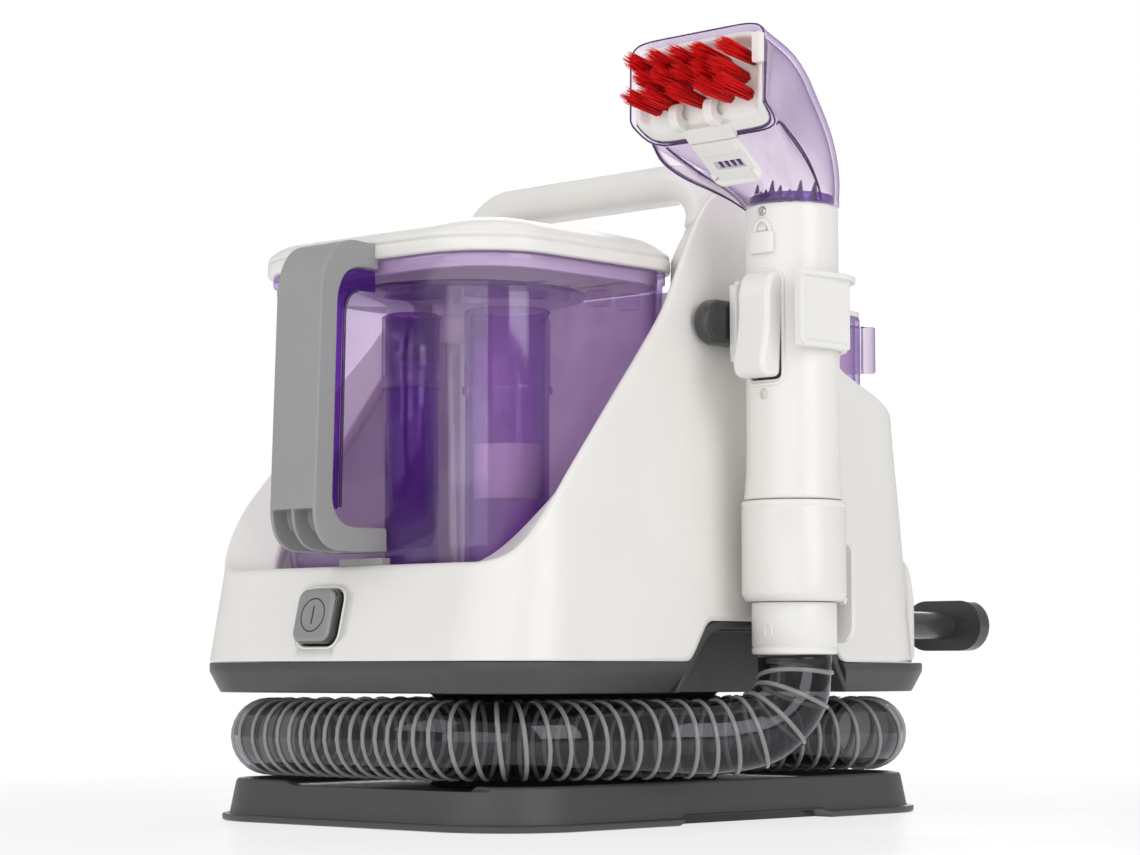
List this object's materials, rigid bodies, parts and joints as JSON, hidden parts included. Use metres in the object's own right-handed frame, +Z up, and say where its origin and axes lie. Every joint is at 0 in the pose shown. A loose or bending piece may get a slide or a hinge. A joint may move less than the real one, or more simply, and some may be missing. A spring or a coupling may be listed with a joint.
{
  "type": "carpet cleaner machine",
  "caption": "Upright spot carpet cleaner: removable clear tanks, carry handle, suction hose wound round a low tray, and a spray wand with a brush nozzle clipped to its side.",
  "frame": {"origin": "on the floor under the centre of the base tray, at the tray's flat underside", "axes": "+Z up, -Y towards the front with the power button and the front tank's handle, +X towards the wand"},
  "size_m": [0.2847, 0.3945, 0.3545],
  "materials": {
    "chassis_grey": "fine texture",
    "rubber": "matte",
    "black_plastic": "satin",
    "hose_clear": "glossy, smoky clear",
    "white_trim": "satin",
    "handle_grey": "satin",
    "white_shell": "satin gloss",
    "purple_clear": "glossy, clear",
    "steel": "brushed",
    "board_green": "satin",
    "dark_hook": "satin",
    "bristle_red": "matte"
  },
  "bodies": {
    "root": {"base_tray": "chassis_grey", "foot_front_left": "rubber", "foot_front_right": "rubber", "foot_rear_left": "rubber", "foot_rear_right": "rubber", "pedestal": "black_plastic", "hose_port": "black_plastic", "hose": "hose_clear", "lower_chassis": "chassis_grey", "hose_recess": "chassis_grey", "button_bezel": "white_trim", "power_switch": "black_plastic", "outer_housing": "white_shell", "carry_handle": "white_shell", "motor_cover": "white_shell", "tank_cradle": "white_shell", "rear_cradle": "white_shell", "rear_panel": "white_shell", "exhaust_grille": "chassis_grey", "cord_gland": "black_plastic", "cord_hook_left": "black_plastic", "tank_catch": "handle_grey", "vacuum_motor": "steel", "fan_housing": "black_plastic", "pump": "black_plastic", "circuit_board": "board_green", "suction_duct": "black_plastic", "side_hook": "dark_hook", "lower_bracket": "white_trim"},
    "button": {"power_button": "handle_grey"},
    "front_tank": {"dirty_tank": "purple_clear", "inlet_tube": "purple_clear", "air_tube": "purple_clear", "baffle": "purple_clear", "tank_handle": "handle_grey", "handle_insert": "purple_clear"},
    "front_lid": {"tank_lid": "white_shell", "lid_seal": "rubber"},
    "float": {"float": "white_trim"},
    "rear_tank": {"clean_tank": "purple_clear", "clean_tank_lid": "white_shell", "clean_tank_handle": "purple_clear", "tank_valve": "black_plastic"},
    "filler": {"filler_cap": "white_trim"},
    "wand": {"wand_body": "white_shell", "wand_cuff": "white_shell", "trigger_pin": "steel", "trigger_spring": "steel", "spray_valve": "black_plastic", "nozzle_catch": "white_trim"},
    "swivel": {"hose_swivel": "white_shell"},
    "trigger": {"trigger": "white_trim"},
    "nozzle": {"nozzle_head": "purple_clear"},
    "latch": {"nozzle_latch": "white_trim"},
    "brush": {"brush_insert": "white_trim", "bristle_pad": "bristle_red"},
    "clip": {"wand_clip": "white_trim"},
    "right_hook": {"cord_hook_right": "black_plastic"},
    "impeller": {"impeller": "steel"}
  },
  "joints": [
    {"name": "power_press", "type": "slide", "parent": "root", "child": "button", "axis": [0, 0.9724, -0.2334], "range_m": [0, 0.0025], "stiffness_N_per_m": 400},
    {"name": "front_tank_lift", "type": "slide", "parent": "root", "child": "front_tank", "axis": [0, 0, 1], "range_m": [0, 0.16]},
    {"name": "front_lid_lift", "type": "slide", "parent": "front_tank", "child": "front_lid", "axis": [0, 0, 1], "range_m": [0, 0.05]},
    {"name": "float_rise", "type": "slide", "parent": "front_tank", "child": "float", "axis": [0, 0, 1], "range_m": [0, 0.05]},
    {"name": "rear_tank_lift", "type": "slide", "parent": "root", "child": "rear_tank", "axis": [0, 0, 1], "range_m": [0, 0.15]},
    {"name": "filler_hinge", "type": "hinge", "parent": "rear_tank", "child": "filler", "pos_m": [0, 0.123, 0.254], "axis": [-1, 0, 0], "range_deg": [0, 100]},
    {"name": "wand_tilt", "type": "hinge", "parent": "root", "child": "wand", "pos_m": [0.1338, 0.0015, 0.077], "axis": [1, 0, 0], "range_deg": [0, 30], "deforming": ["hose"]},
    {"name": "hose_swivel_turn", "type": "hinge", "parent": "wand", "child": "swivel", "pos_m": [0.1338, 0.0015, 0.09], "axis": [0, 0, 1], "continuous": true},
    {"name": "trigger_pull", "type": "hinge", "parent": "wand", "child": "trigger", "pos_m": [0.1338, -0.0135, 0.246], "axis": [1, 0, 0], "range_deg": [0, 5], "stiffness_Nm_per_rad": 0.8},
    {"name": "nozzle_pull", "type": "slide", "parent": "wand", "child": "nozzle", "axis": [0, 0, 1], "range_m": [0, 0.04]},
    {"name": "latch_flex", "type": "hinge", "parent": "nozzle", "child": "latch", "pos_m": [0.1338, -0.0528, 0.3067], "axis": [-1, 0, 0], "range_deg": [0, 6], "stiffness_Nm_per_rad": 0.5},
    {"name": "brush_slide", "type": "slide", "parent": "nozzle", "child": "brush", "axis": [0, -1, 0], "range_m": [0, 0.025]},
    {"name": "clip_lift", "type": "slide", "parent": "root", "child": "clip", "axis": [0, 0, 1], "range_m": [0, 0.02]},
    {"name": "right_hook_turn", "type": "hinge", "parent": "root", "child": "right_hook", "pos_m": [0.074, 0.2, 0.093], "axis": [0, 1, 0], "range_deg": [0, 90]},
    {"name": "impeller_spin", "type": "hinge", "parent": "root", "child": "impeller", "pos_m": [0, 0.045, 0.16], "axis": [0, 1, 0], "continuous": true}
  ]
}
